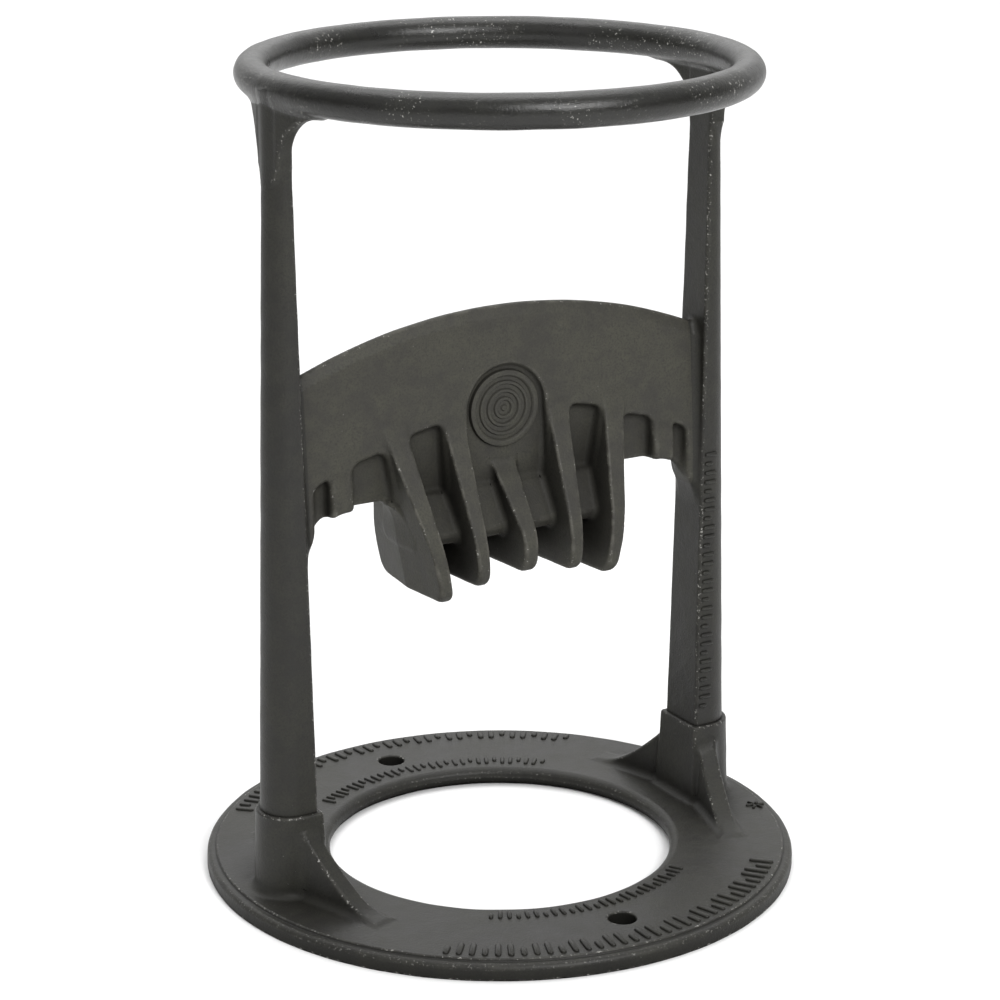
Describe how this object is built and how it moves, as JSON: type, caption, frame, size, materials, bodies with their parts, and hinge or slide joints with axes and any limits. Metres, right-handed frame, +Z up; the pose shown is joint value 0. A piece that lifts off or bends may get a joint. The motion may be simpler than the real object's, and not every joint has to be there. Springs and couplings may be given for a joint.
{
  "type": "kindling splitter",
  "caption": "Free-standing cast-iron kindling splitter: a ringed foot, tapering posts, an upward splitting edge with flared fins below it, and a hoop that keeps the log upright.",
  "frame": {"origin": "middle of the foot ring's underside, on the axis of the ring and the hoop", "axes": "+Z up through the hoop, X through the posts along the splitting edge, -Y towards the front"},
  "size_m": [0.2216, 0.2216, 0.305],
  "materials": {
    "iron": "satin charcoal coating over a fine sand-cast surface",
    "hoop_iron": "smoother satin charcoal coating, worn bright in small flecks",
    "web_iron": "matt charcoal coating with a slightly lighter, mottled cast surface"
  },
  "bodies": {
    "root": {"base_ring": "iron", "hoop": "hoop_iron", "left_post": "iron", "right_post": "iron", "left_foot_socket": "iron", "right_foot_socket": "iron", "left_hoop_saddle": "iron", "right_hoop_saddle": "iron", "left_front_gusset": "iron", "left_rear_gusset": "iron", "right_front_gusset": "iron", "right_rear_gusset": "iron", "fin_1": "web_iron", "fin_2": "web_iron", "fin_3": "web_iron", "fin_4": "web_iron", "fin_5": "web_iron", "left_end_rib": "web_iron", "right_end_rib": "web_iron", "splitting_web": "web_iron", "front_badge": "web_iron", "rear_badge": "web_iron", "left_shoulder": "web_iron", "right_shoulder": "web_iron", "throat_1": "web_iron", "throat_2": "web_iron", "throat_3": "web_iron", "throat_4": "web_iron"}
  },
  "joints": []
}
